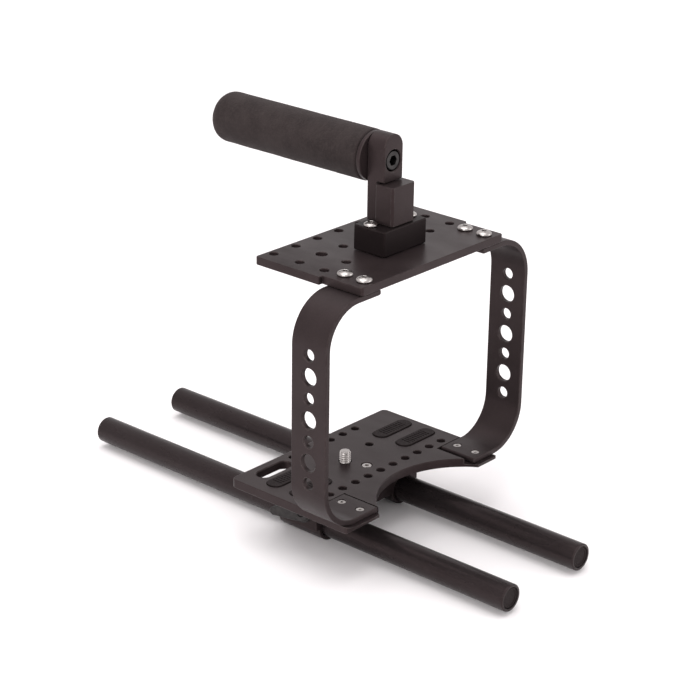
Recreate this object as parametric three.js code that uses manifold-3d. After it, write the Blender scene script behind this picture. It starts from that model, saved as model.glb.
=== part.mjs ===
// Cinema camera rig: a cage of two bent side straps between a base plate and a top plate,
// carried on two 15 mm rods, with a foam top handle.
// Millimetres. +Z is up and -Y is the front, where the lens points. The origin is on the surface
// that the rod clamp stands on, midway between the rods and midway along them.
import * as THREE from 'three';
import { mergeVertices } from 'three/addons/utils/BufferGeometryUtils.js';
import Module from 'manifold-3d';

// ---- Driving dimensions -------------------------------------------------------------------
const GAP = 0.3; // air left between pieces that sit against each other

// Rods: the 15 mm standard, on 60 mm centres
const ROD_RADIUS = 7.5;
const ROD_BORE_RADIUS = 6;
const ROD_HALF_LENGTH = 150;
const ROD_X = 30;
const LOBE_RADIUS = 9.5; // round lobes of the clamp, below the rods: the rig stands on them
const ROD_Z = LOBE_RADIUS;
const PLUG_DEPTH = 8;

// Base plate: it reaches further to the left than to the right
const BASE_LEFT = -67.5;
const BASE_RIGHT = 57.5;
const BASE_FRONT = -71.5;
const BASE_BACK = 10.5;
const BASE_BOTTOM = ROD_Z + 22.4;
const BASE_TOP = BASE_BOTTOM + 5;
const BASE_CORNER = 3;
const LENS_ARC_Y = -99.5; // centre of the round cut-out in the front edge
const LENS_ARC_RADIUS = 50;
const ROW_PITCH = 10.25;
const ROW_CENTRE_X = -ROW_PITCH / 2;
const ROW_HOLE_RADIUS = 2.4;

// Top plate
const TOP_HALF_WIDTH = 59;
const TOP_NECK_HALF_WIDTH = 56.5; // narrower between the straps
const TOP_FRONT = -70;
const TOP_NECK_BACK = -43.5;
const TOP_BACK = 0.5;
const TOP_BOTTOM = ROD_Z + 148.9;
const TOP_TOP = TOP_BOTTOM + 4.5;

// Side straps: flat bar, bent to a C
const STRAP_OUTER_X = 81.5;
const STRAP_THICKNESS = 3;
const STRAP_BEND_RADIUS = 24; // outside of the bend
const STRAP_WIDTH = 23.3;
const STRAP_Y = -57.55;
const STRAP_BOTTOM = BASE_TOP - STRAP_THICKNESS; // the lower flange is flush with the base plate
const STRAP_TOP = TOP_BOTTOM - GAP; // the upper flange is under the top plate
const STRAP_LOWER_END = 40;
const POCKET_END = 36.5; // on the right, the base plate's pocket runs a little past the flange
const STRAP_UPPER_END = 41;
const STRAP_HOLES = 7;
const STRAP_HOLE_PITCH = 11.72;
const QUARTER_INCH_RADIUS = 3.18;
const THREE_EIGHTHS_RADIUS = 4.76;
const FLANGE_SCREW_X = 48;
const FLANGE_SCREWS_Y = [-63.8, -51.1];

// Rod clamp block under the base plate
const CLAMP_HALF_WIDTH = 42;
const CLAMP_FRONT = -28;
const CLAMP_BACK = 2;
const CLAMP_BOTTOM = ROD_Z - 1;
const CLAMP_TOP = BASE_BOTTOM - GAP;
const CLAMP_FIT = 0.2; // clearance round each rod
const SLIT_WIDTH = 1.5;

// Clamp levers: each turns a screw that runs across the slit, just above its rod
const LEVER_Y = -21;
const LEVER_Z = ROD_Z + 10.4;
const LEVER_HUB_RADIUS = 6.3;
const LEVER_HUB_WIDTH = 5.2;
const LEVER_LENGTH = 22;
const LEVER_SLOPE = 18; // degrees, downwards to the back
const LEVER_SCREW_RADIUS = 2;
const LEVER_SCREW_END = 20;

// Camera screw
const CAMERA_SCREW_X = -9.7;
const CAMERA_SCREW_Y = -19.4;

// Handle
const HANDLE_Y = -39.5;
const BLOCK_HALF_WIDTH = 17;
const BLOCK_HALF_DEPTH = 10.5;
const BLOCK_BOTTOM = TOP_TOP + GAP;
const BLOCK_TOP = TOP_TOP + 14;
const BLOCK_SCREW_X = 13.1;
const BLOCK_SCREW_SKEW = 2; // the left screw is this far behind the block's middle, the right one in front
const RISER_HALF_WIDTH = 9;
const RISER_FRONT = -48.4;
const RISER_BACK = -36.5;
const RISER_TOP = BLOCK_TOP + 21.3;
const ARM_HALF_WIDTH = 7.4;
const ARM_FRONT = -40.8;
const ARM_BACK = -29.4;
const GRIP_Z = ROD_Z + 200;
const GRIP_RADIUS = 14;
const ARM_TOP = GRIP_Z + GRIP_RADIUS;
const COLLAR_RADIUS = 13.3;
const COLLAR_LENGTH = 2.5;
const GRIP_BACK = 79.5;
const CORE_RADIUS = 7;
const CORE_BACK = GRIP_BACK - 10;

// ---- Finishes -----------------------------------------------------------------------------
function finish(colour, roughness, metalness) {
  return new THREE.MeshStandardMaterial({ color: colour, roughness, metalness });
}
const anodised = finish(0x2b2526, 0.45, 0.6);
const rodBlack = finish(0x1d1a1b, 0.3, 0.7);
const bright = finish(0xd0cfcd, 0.25, 1);
const blackSteel = finish(0x1a1818, 0.4, 0.8);
const rubber = finish(0x2a2626, 0.9, 0);
const foam = finish(0x262223, 0.95, 0);

// ---- Solids -------------------------------------------------------------------------------
const wasm = await Module();
wasm.setup();

function toSolid(geometry) {
  const bare = geometry.clone();
  bare.deleteAttribute('normal');
  bare.deleteAttribute('uv');
  const merged = mergeVertices(bare, 1e-4);
  return new wasm.Manifold(new wasm.Mesh({
    numProp: 3,
    vertProperties: new Float32Array(merged.attributes.position.array),
    triVerts: new Uint32Array(merged.index.array),
  }));
}

function toGeometry(solid) {
  const mesh = solid.getMesh();
  const geometry = new THREE.BufferGeometry();
  geometry.setAttribute('position', new THREE.BufferAttribute(new Float32Array(mesh.vertProperties), 3));
  geometry.setIndex(new THREE.BufferAttribute(new Uint32Array(mesh.triVerts), 1));
  geometry.computeVertexNormals();
  return geometry;
}

// body with every one of the tools cut away from it
function cut(body, tools) {
  const left = tools.reduce((solid, tool) => solid.subtract(toSolid(tool)), toSolid(body));
  return toGeometry(left);
}

function box([x0, y0, z0], [x1, y1, z1]) {
  const geometry = new THREE.BoxGeometry(x1 - x0, y1 - y0, z1 - z0);
  return geometry.translate((x0 + x1) / 2, (y0 + y1) / 2, (z0 + z1) / 2);
}

// A cylinder along X, Y or Z, from start to end (in either order), through (x, y, z)
function cylinder(axis, radius, start, end, x, y, z, sides = 16) {
  const geometry = new THREE.CylinderGeometry(radius, radius, Math.abs(end - start), sides);
  const middle = (start + end) / 2;
  if (axis === 'x') return geometry.rotateZ(Math.PI / 2).translate(middle, y, z);
  if (axis === 'y') return geometry.translate(x, middle, z);
  return geometry.rotateX(Math.PI / 2).translate(x, y, middle);
}

// A flat outline in X and Y, raised from one height to another
function raised(outline, bottom, top) {
  const options = { depth: top - bottom, bevelEnabled: false, curveSegments: 14 };
  return new THREE.ExtrudeGeometry(outline, options).translate(0, 0, bottom);
}

// An outline in X and Z, drawn out along Y
function drawnOut(outline, front, back) {
  const options = { depth: back - front, bevelEnabled: false, curveSegments: 12 };
  return new THREE.ExtrudeGeometry(outline, options).rotateX(Math.PI / 2).translate(0, back, 0);
}

// Turned about Y: each point is a radius and a place along the axis
function turned(points, sides) {
  return new THREE.LatheGeometry(points.map(([radius, along]) => new THREE.Vector2(radius, along)), sides);
}

function arcPoints(centreX, centreY, radius, from, to, steps) {
  const points = [];
  for (let i = 0; i <= steps; i += 1) {
    const angle = THREE.MathUtils.degToRad(from + ((to - from) * i) / steps);
    points.push(new THREE.Vector2(centreX + radius * Math.cos(angle), centreY + radius * Math.sin(angle)));
  }
  return points;
}

// A long hole with round ends, its length along X
function oblong(x, y, length, width) {
  const radius = width / 2;
  const reach = length / 2 - radius;
  const right = arcPoints(x + reach, y, radius, -90, 90, 6);
  const left = arcPoints(x - reach, y, radius, 90, 270, 6);
  return new THREE.Shape([...right, ...left]);
}

const rig = new THREE.Group();

function add(parent, name, geometry, material, x = 0, y = 0, z = 0) {
  const mesh = new THREE.Mesh(geometry, material);
  mesh.name = name;
  mesh.position.set(x, y, z);
  parent.add(mesh);
  return mesh;
}

// ---- Screws -------------------------------------------------------------------------------
// Each screw is made with its head upwards along Z and the underside of its head at zero.
const SCREW_SIDES = 16;
const SOCKET_SHARE = 0.3; // hexagon socket's radius against the head's

function withSocket(profile, headRadius, headTop, socketDepth) {
  const body = turned(profile, SCREW_SIDES).rotateX(Math.PI / 2);
  const radius = headRadius * SOCKET_SHARE;
  const socket = cylinder('z', radius, headTop - socketDepth, headTop + 1, 0, 0, 0, 6);
  return cut(body, [socket]);
}

function capScrew(headRadius, headHeight, shankRadius, length) {
  const edge = 0.4;
  const profile = [
    [0, -length], [shankRadius, -length], [shankRadius, 0], [headRadius, 0],
    [headRadius, headHeight - edge], [headRadius - edge, headHeight], [0, headHeight],
  ];
  return withSocket(profile, headRadius, headHeight, headHeight * 0.55);
}

function buttonScrew(headRadius, headHeight, shankRadius, length) {
  const profile = [
    [0, -length], [shankRadius, -length], [shankRadius, 0], [headRadius, 0],
    [headRadius * 0.92, headHeight * 0.5], [headRadius * 0.6, headHeight], [0, headHeight],
  ];
  return withSocket(profile, headRadius, headHeight, headHeight * 0.7);
}

// A flat head: its top is at zero and its cone goes down into the piece
function flatScrew(headRadius, shankRadius, length) {
  const coneDepth = headRadius - shankRadius;
  const rim = 0.2;
  const profile = [
    [0, -length], [shankRadius, -length], [shankRadius, -coneDepth - rim],
    [headRadius, -rim], [headRadius, 0], [0, 0],
  ];
  return withSocket(profile, headRadius, 0, 0.9);
}

// ---- Rods ---------------------------------------------------------------------------------
function rodTube() {
  const edge = 0.6;
  const h = ROD_HALF_LENGTH;
  const profile = [
    [ROD_BORE_RADIUS, -h], [ROD_RADIUS - edge, -h], [ROD_RADIUS, -h + edge],
    [ROD_RADIUS, h - edge], [ROD_RADIUS - edge, h], [ROD_BORE_RADIUS, h], [ROD_BORE_RADIUS, -h],
  ];
  return turned(profile, 40);
}

// A plug pressed into each end of a tube, its face just inside the end
function rodPlug(end) {
  const radius = ROD_BORE_RADIUS - 0.15;
  const outside = end * (ROD_HALF_LENGTH - 0.5);
  const inside = end * (ROD_HALF_LENGTH - PLUG_DEPTH);
  return cylinder('y', radius, outside, inside, 0, 0, 0, 24);
}

function addRods() {
  for (const [side, word] of [[-1, 'left'], [1, 'right']]) {
    const rod = new THREE.Group();
    rod.position.set(side * ROD_X, 0, ROD_Z);
    add(rod, `rod_${word}`, rodTube(), rodBlack);
    add(rod, `rod_${word}_plug_front`, rodPlug(-1), rubber);
    add(rod, `rod_${word}_plug_back`, rodPlug(1), rubber);
    rig.add(rod);
  }
}

// ---- Base plate ---------------------------------------------------------------------------
const PAD_LENGTH = 28;
const PAD_WIDTH = 9.5;
const PAD_RECESS = 1;
const PAD_PROUD = 0.6;
const PAD_PLACES = [
  ['pad_right_back', 39.5, -11.2], ['pad_right_front', 39.5, -28],
  ['pad_left_back', -46.5, -11.2], ['pad_left_front', -46.5, -28],
];
const TIE_SLOT = { x: -43.8, y: 1.3, length: 24.5, width: 8.5 };
const PLATE_SCREW = { x: -5.5, y: -31.4, radius: 1.7, headRadius: 2.8 }; // a short screw in the plate
const FLANGE_SHANK_RADIUS = 1.2;
const FLANGE_HEAD_RADIUS = 2.2;

function baseOutline() {
  const c = BASE_CORNER;
  const reach = Math.sqrt(LENS_ARC_RADIUS ** 2 - (BASE_FRONT - LENS_ARC_Y) ** 2);
  const angle = THREE.MathUtils.radToDeg(Math.acos(reach / LENS_ARC_RADIUS));
  const point = (x, y) => new THREE.Vector2(x, y);
  return new THREE.Shape([
    point(BASE_LEFT, BASE_FRONT + 1), point(BASE_LEFT + 1, BASE_FRONT),
    ...arcPoints(0, LENS_ARC_Y, LENS_ARC_RADIUS, 180 - angle, angle, 28),
    point(BASE_RIGHT - 1, BASE_FRONT), point(BASE_RIGHT, BASE_FRONT + 1),
    ...arcPoints(BASE_RIGHT - c, BASE_BACK - c, c, 0, 90, 4),
    ...arcPoints(BASE_LEFT + c, BASE_BACK - c, c, 90, 180, 4),
  ]);
}

// Where the small threaded holes of the base plate are
function baseHoles() {
  const holes = [];
  for (let k = -5; k <= 5; k += 1) holes.push([ROW_CENTRE_X + k * ROW_PITCH, -41]);
  for (let k = -2; k <= 3; k += 1) holes.push([ROW_CENTRE_X + k * ROW_PITCH, 4.5]);
  for (const k of [-2, 2]) holes.push([ROW_CENTRE_X + k * ROW_PITCH, -15]);
  return holes;
}

function basePlate() {
  const outline = baseOutline();
  const tools = baseHoles().map(([x, y]) => (
    cylinder('z', ROW_HOLE_RADIUS, BASE_BOTTOM - 1, BASE_TOP + 1, x, y, 0, 14)
  ));
  const { x, y, length, width } = TIE_SLOT;
  tools.push(raised(oblong(x, y, length, width), BASE_BOTTOM - 1, BASE_TOP + 1));
  for (const [, padX, padY] of PAD_PLACES) {
    const recess = oblong(padX, padY, PAD_LENGTH + 2 * GAP, PAD_WIDTH + 2 * GAP);
    tools.push(raised(recess, BASE_TOP - PAD_RECESS, BASE_TOP + 1));
  }
  // pockets that follow the straps' lower flanges and bends, open to the front and to the side
  const floor = STRAP_BOTTOM - GAP;
  const back = STRAP_Y + STRAP_WIDTH / 2 + GAP;
  tools.push(box([POCKET_END, BASE_FRONT - 1, floor], [STRAP_LOWER_END + 1, back, BASE_TOP + 1]));
  for (const side of [-1, 1]) {
    tools.push(drawnOut(strapOutline(side, GAP), BASE_FRONT - 1, back));
    for (const screwY of FLANGE_SCREWS_Y) {
      const screwX = side * FLANGE_SCREW_X;
      const hole = FLANGE_SHANK_RADIUS + GAP;
      tools.push(cylinder('z', hole, BASE_BOTTOM - 1, floor + 1, screwX, screwY, 0, 12));
    }
  }
  // the camera screw's hole, and the short screw's hole with its counterbore
  const screwHole = QUARTER_INCH_RADIUS + GAP;
  tools.push(cylinder('z', screwHole, BASE_BOTTOM - 1, BASE_TOP + 1, CAMERA_SCREW_X, CAMERA_SCREW_Y, 0));
  const { x: cx, y: cy, radius, headRadius } = PLATE_SCREW;
  tools.push(cylinder('z', radius + GAP, BASE_BOTTOM - 1, BASE_TOP + 1, cx, cy, 0));
  tools.push(cylinder('z', headRadius + GAP, BASE_TOP - 2.2, BASE_TOP + 1, cx, cy, 0));
  for (const [ux, uy] of UNDER_SCREWS) {
    tools.push(cylinder('z', 2 + GAP, BASE_BOTTOM - 1, BASE_TOP - 1.2, ux, uy, 0, 12));
  }
  return cut(raised(outline, BASE_BOTTOM, BASE_TOP), tools);
}

// ---- Rod clamp block ----------------------------------------------------------------------
const UNDER_SCREWS = [[8, -6], [8, -20]]; // screws that come up through the block
const UNDER_HEAD_TOP = CLAMP_BOTTOM + 8;
const CAMERA_HEAD_RADIUS = 5.5;
const CAMERA_HEAD_HEIGHT = 5;
const CAMERA_SCREW_PROUD = 6;

function clampBlock() {
  const past = 1;
  let body = toSolid(box(
    [-CLAMP_HALF_WIDTH, CLAMP_FRONT, CLAMP_BOTTOM],
    [CLAMP_HALF_WIDTH, CLAMP_BACK, CLAMP_TOP],
  ));
  const tools = [];
  for (const side of [-1, 1]) {
    const x = side * ROD_X;
    body = body.add(toSolid(cylinder('y', LOBE_RADIUS, CLAMP_FRONT, CLAMP_BACK, x, 0, ROD_Z, 40)));
    const bore = ROD_RADIUS + CLAMP_FIT;
    tools.push(cylinder('y', bore, CLAMP_FRONT - past, CLAMP_BACK + past, x, 0, ROD_Z, 40));
    tools.push(box(
      [x - SLIT_WIDTH / 2, CLAMP_FRONT - past, ROD_Z],
      [x + SLIT_WIDTH / 2, CLAMP_BACK + past, CLAMP_TOP + past],
    ));
    const inner = side * (LEVER_SCREW_END - 1);
    const outer = side * (CLAMP_HALF_WIDTH + past);
    const hole = LEVER_SCREW_RADIUS + 0.2;
    tools.push(cylinder('x', hole, inner, outer, 0, LEVER_Y, LEVER_Z, 12));
  }
  const headRoom = CAMERA_HEAD_RADIUS + 0.7;
  tools.push(cylinder('z', headRoom, 0, CLAMP_TOP + past, CAMERA_SCREW_X, CAMERA_SCREW_Y, 0, 20));
  for (const [ux, uy] of UNDER_SCREWS) {
    tools.push(cylinder('z', 2 + GAP, 0, CLAMP_TOP + past, ux, uy, 0, 12));
    tools.push(cylinder('z', 3.5 + GAP, 0, UNDER_HEAD_TOP + GAP, ux, uy, 0, 14));
  }
  return cut(toGeometry(body), tools);
}

// A lever with its hub at the origin, flat against the block, its arm towards +Y.
// The screw it turns is part of it. The side is -1 for the left-hand lever and 1 for its mirror.
function clampLever(side) {
  const tipRadius = 2.4;
  const reach = Math.atan2(LEVER_HUB_RADIUS - tipRadius, LEVER_LENGTH);
  const lean = THREE.MathUtils.radToDeg(reach);
  const outline = new THREE.Shape([
    ...arcPoints(0, 0, LEVER_HUB_RADIUS, 90 - lean, 270 + lean, 16),
    ...arcPoints(LEVER_LENGTH, 0, tipRadius, -90 + lean, 90 - lean, 8),
  ]);
  // the outline's X becomes the arm's direction along Y, and its depth runs outwards along X
  const options = { depth: LEVER_HUB_WIDTH, bevelEnabled: false };
  const plate = new THREE.ExtrudeGeometry(outline, options).rotateX(Math.PI / 2).rotateZ(Math.PI / 2);
  plate.rotateX(THREE.MathUtils.degToRad(-LEVER_SLOPE));
  plate.computeBoundingBox();
  const { min, max } = plate.boundingBox;
  const away = CLAMP_HALF_WIDTH + GAP;
  plate.translate(side > 0 ? away - min.x : -away - max.x, 0, 0);
  const start = side * LEVER_SCREW_END;
  const end = side * (away + 1);
  const screw = cylinder('x', LEVER_SCREW_RADIUS, start, end, 0, 0, 0, 12);
  const face = side * (away + LEVER_HUB_WIDTH);
  const floor = face - side * 2.5;
  const socket = cylinder('x', 2, floor, face + side, 0, 0, 0, 6);
  return cut(toGeometry(toSolid(plate).add(toSolid(screw))), [socket]);
}

function addBase() {
  add(rig, 'base_plate', basePlate(), anodised);
  for (const [name, x, y] of PAD_PLACES) {
    const bottom = BASE_TOP - PAD_RECESS + 0.05;
    add(rig, name, raised(oblong(x, y, PAD_LENGTH, PAD_WIDTH), bottom, BASE_TOP + PAD_PROUD), rubber);
  }
  add(rig, 'rod_clamp', clampBlock(), anodised);

  const { x, y, radius, headRadius } = PLATE_SCREW;
  const shortScrew = capScrew(headRadius, 1.9, radius, 2.6);
  add(rig, 'plate_screw', shortScrew, bright, x, y, BASE_TOP - 2.2 + 0.1);
  UNDER_SCREWS.forEach(([ux, uy], index) => {
    const name = `clamp_screw_under_${index + 1}`;
    const geometry = capScrew(3.5, 4, 2, BASE_TOP - 2 - UNDER_HEAD_TOP);
    const screw = add(rig, name, geometry, blackSteel, ux, uy, UNDER_HEAD_TOP);
    screw.rotation.x = Math.PI; // driven from below
  });

  const seat = BASE_BOTTOM - GAP;
  const reach = BASE_TOP + CAMERA_SCREW_PROUD - seat;
  const stud = capScrew(CAMERA_HEAD_RADIUS, CAMERA_HEAD_HEIGHT, QUARTER_INCH_RADIUS, reach);
  const mounted = add(rig, 'camera_screw', stud, bright, CAMERA_SCREW_X, CAMERA_SCREW_Y, seat);
  mounted.rotation.x = Math.PI;

  add(rig, 'clamp_lever_left', clampLever(-1), blackSteel, 0, LEVER_Y, LEVER_Z);
  add(rig, 'clamp_lever_right', clampLever(1), blackSteel, 0, LEVER_Y, LEVER_Z);
}

// ---- Side straps --------------------------------------------------------------------------
// The strap seen from the front, made larger all round by the given amount
function strapOutline(side, grow) {
  const bendX = STRAP_OUTER_X - STRAP_BEND_RADIUS;
  const lowZ = STRAP_BOTTOM + STRAP_BEND_RADIUS;
  const highZ = STRAP_TOP - STRAP_BEND_RADIUS;
  const outer = STRAP_BEND_RADIUS + grow;
  const inner = STRAP_BEND_RADIUS - STRAP_THICKNESS - grow;
  const lowEnd = STRAP_LOWER_END - grow;
  const highEnd = STRAP_UPPER_END - grow;
  const steps = 12;
  const points = [
    new THREE.Vector2(lowEnd, STRAP_BOTTOM - grow),
    ...arcPoints(bendX, lowZ, outer, -90, 0, steps),
    ...arcPoints(bendX, highZ, outer, 0, 90, steps),
    new THREE.Vector2(highEnd, STRAP_TOP + grow),
    new THREE.Vector2(highEnd, STRAP_TOP - STRAP_THICKNESS - grow),
    ...arcPoints(bendX, highZ, inner, 90, 0, steps),
    ...arcPoints(bendX, lowZ, inner, 0, -90, steps),
    new THREE.Vector2(lowEnd, STRAP_BOTTOM + STRAP_THICKNESS + grow),
  ];
  return new THREE.Shape(points.map((p) => new THREE.Vector2(side * p.x, p.y)));
}

function strap(side) {
  const half = STRAP_WIDTH / 2;
  const tools = [];
  const middleZ = (STRAP_BOTTOM + STRAP_TOP) / 2;
  const inside = side * (STRAP_OUTER_X - STRAP_THICKNESS - 1);
  const outside = side * (STRAP_OUTER_X + 1);
  for (let i = 0; i < STRAP_HOLES; i += 1) {
    const radius = i % 2 ? THREE_EIGHTHS_RADIUS : QUARTER_INCH_RADIUS;
    const z = middleZ + (i - (STRAP_HOLES - 1) / 2) * STRAP_HOLE_PITCH;
    tools.push(cylinder('x', radius, inside, outside, 0, STRAP_Y, z, 20));
  }
  const x = side * FLANGE_SCREW_X;
  for (const y of FLANGE_SCREWS_Y) {
    const hole = FLANGE_SHANK_RADIUS + GAP;
    tools.push(cylinder('z', hole, STRAP_BOTTOM - 1, BASE_TOP + 1, x, y, 0, 12));
    tools.push(countersink(FLANGE_HEAD_RADIUS + GAP, x, y));
    tools.push(cylinder('z', 2 + GAP, STRAP_TOP - STRAP_THICKNESS - 1, STRAP_TOP + 1, x, y, 0, 12));
  }
  return cut(drawnOut(strapOutline(side, 0), STRAP_Y - half, STRAP_Y + half), tools);
}

// The cone that a flat screw's head drops into, in a lower flange
function countersink(radius, x, y) {
  const depth = 1.2;
  const cone = new THREE.CylinderGeometry(radius, radius - depth, depth, SCREW_SIDES);
  const mouth = cylinder('z', radius, BASE_TOP - 0.5, BASE_TOP + 1, x, y, 0, SCREW_SIDES);
  const sunk = cone.rotateX(Math.PI / 2).translate(x, y, BASE_TOP - 0.5 - depth / 2);
  return toGeometry(toSolid(sunk).add(toSolid(mouth)));
}

function addStraps() {
  for (const [side, word] of [[-1, 'left'], [1, 'right']]) {
    add(rig, `side_strap_${word}`, strap(side), anodised);
    FLANGE_SCREWS_Y.forEach((y, index) => {
      const place = index ? 'back' : 'front';
      const x = side * FLANGE_SCREW_X;
      const lowTop = BASE_TOP - 0.3;
      const low = flatScrew(FLANGE_HEAD_RADIUS, FLANGE_SHANK_RADIUS, lowTop - BASE_BOTTOM);
      add(rig, `base_screw_${word}_${place}`, low, bright, x, y, lowTop);
      const highSeat = TOP_TOP + GAP;
      const high = buttonScrew(4.2, 2.3, 2, highSeat - STRAP_TOP + STRAP_THICKNESS);
      add(rig, `top_screw_${word}_${place}`, high, bright, x, y, highSeat);
    });
  }
}

// ---- Top plate ----------------------------------------------------------------------------
const TOP_PITCH = 16.6;
const TOP_COLUMNS = [-3, -2, -1, 0, 1, 2, 3].map((k) => k * TOP_PITCH);
const TOP_ROWS = [-39, -22, -4];
const TOP_HOLE_RADIUS = 2.5;

function topOutline() {
  const wide = TOP_HALF_WIDTH;
  const neck = TOP_NECK_HALF_WIDTH;
  const edge = 1.5;
  const point = (x, y) => new THREE.Vector2(x, y);
  return new THREE.Shape([
    point(-neck + edge, TOP_FRONT), point(neck - edge, TOP_FRONT), point(neck, TOP_FRONT + edge),
    point(neck, TOP_NECK_BACK), point(wide, TOP_NECK_BACK),
    point(wide, TOP_BACK - edge), point(wide - edge, TOP_BACK),
    point(-wide + edge, TOP_BACK), point(-wide, TOP_BACK - edge),
    point(-wide, TOP_NECK_BACK), point(-neck, TOP_NECK_BACK), point(-neck, TOP_FRONT + edge),
  ]);
}

function topPlate() {
  const tools = [];
  const drill = (radius, x, y, sides) => {
    tools.push(cylinder('z', radius, TOP_BOTTOM - 1, TOP_TOP + 1, x, y, 0, sides));
  };
  TOP_ROWS.forEach((y, row) => {
    TOP_COLUMNS.forEach((x) => {
      const underHandle = y < HANDLE_Y + BLOCK_HALF_DEPTH + 4 && Math.abs(x) < BLOCK_HALF_WIDTH + 3;
      const larger = row === 1 && Math.abs(x) > 30 && Math.abs(x) < 40;
      if (!underHandle) drill(larger ? QUARTER_INCH_RADIUS : TOP_HOLE_RADIUS, x, y, 14);
    });
  });
  for (const side of [-1, 1]) {
    for (const y of FLANGE_SCREWS_Y) drill(2 + GAP, side * FLANGE_SCREW_X, y, 12);
    drill(2.5 + GAP, side * BLOCK_SCREW_X, blockScrewY(side), 12);
  }
  return cut(raised(topOutline(), TOP_BOTTOM, TOP_TOP), tools);
}

// ---- Handle -------------------------------------------------------------------------------
// Two hidden screws come up through the block: one into the riser, a thinner one into the arm's foot
const HIDDEN_SCREWS = [
  { name: 'riser_screw', y: -42.4, radius: 2.5, headRadius: 4.2, top: RISER_TOP - 4 },
  { name: 'arm_screw', y: -32.9, radius: 1.5, headRadius: 2.8, top: BLOCK_TOP + 12 },
];
const HIDDEN_HEAD_HEIGHT = 5;
const BLOCK_HEAD_RADIUS = 3.7;
const BLOCK_HEAD_HEIGHT = 2.1;
const BOLT_HEAD_RADIUS = 5;
const BOLT_HEAD_HEIGHT = 6;
const BOLT_RADIUS = 3;

function blockScrewY(side) {
  return HANDLE_Y - side * BLOCK_SCREW_SKEW;
}

function handleBlock() {
  const outline = new THREE.Shape();
  const w = BLOCK_HALF_WIDTH;
  const d = BLOCK_HALF_DEPTH;
  const edge = 1;
  outline.setFromPoints([
    [-w + edge, -d], [w - edge, -d], [w, -d + edge], [w, d - edge],
    [w - edge, d], [-w + edge, d], [-w, d - edge], [-w, -d + edge],
  ].map(([x, y]) => new THREE.Vector2(x, y + HANDLE_Y)));
  const tools = [];
  for (const side of [-1, 1]) {
    const x = side * BLOCK_SCREW_X;
    tools.push(cylinder('z', 2.5 + GAP, BLOCK_BOTTOM - 1, BLOCK_TOP + 1, x, blockScrewY(side), 0, 12));
  }
  const headRoom = BLOCK_BOTTOM + HIDDEN_HEAD_HEIGHT + 2 * GAP;
  for (const { y, radius, headRadius } of HIDDEN_SCREWS) {
    tools.push(cylinder('z', radius + GAP, BLOCK_BOTTOM - 1, BLOCK_TOP + 1, 0, y, 0, 12));
    tools.push(cylinder('z', headRadius + GAP, BLOCK_BOTTOM - 1, headRoom, 0, y, 0));
  }
  return cut(raised(outline, BLOCK_BOTTOM, BLOCK_TOP), tools);
}

// The hole that a hidden screw goes up into
function tappedHole({ y, radius, top }) {
  return cylinder('z', radius + GAP, BLOCK_TOP - 1, top + GAP, 0, y, 0, 12);
}

function riser() {
  const w = RISER_HALF_WIDTH;
  const edge = 1.2;
  const outline = new THREE.Shape([
    [-w, RISER_FRONT + edge], [-w + edge, RISER_FRONT], [w - edge, RISER_FRONT], [w, RISER_FRONT + edge],
    [w, RISER_BACK], [-w, RISER_BACK],
  ].map(([x, y]) => new THREE.Vector2(x, y)));
  return cut(raised(outline, BLOCK_TOP + GAP, RISER_TOP), [tappedHole(HIDDEN_SCREWS[0])]);
}

// The arm stands on the block behind the riser, and its head leans out over the riser's top
function arm() {
  const w = ARM_HALF_WIDTH;
  const outline = new THREE.Shape([
    new THREE.Vector2(-w, RISER_TOP + GAP), new THREE.Vector2(w, RISER_TOP + GAP),
    ...arcPoints(0, ARM_TOP - w, w, 0, 180, 16),
  ]);
  const foot = box([-w, RISER_BACK + GAP, BLOCK_TOP + GAP], [w, ARM_BACK, RISER_TOP + 1]);
  const body = toSolid(drawnOut(outline, ARM_FRONT, ARM_BACK)).add(toSolid(foot));
  const seat = ARM_FRONT + BOLT_HEAD_HEIGHT + 0.5;
  return cut(toGeometry(body), [
    cylinder('y', BOLT_HEAD_RADIUS + 0.8, ARM_FRONT - 1, seat, 0, 0, GRIP_Z, 24),
    cylinder('y', BOLT_RADIUS + GAP, ARM_FRONT - 1, ARM_BACK + 1, 0, 0, GRIP_Z, 14),
    tappedHole(HIDDEN_SCREWS[1]),
  ]);
}

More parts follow.
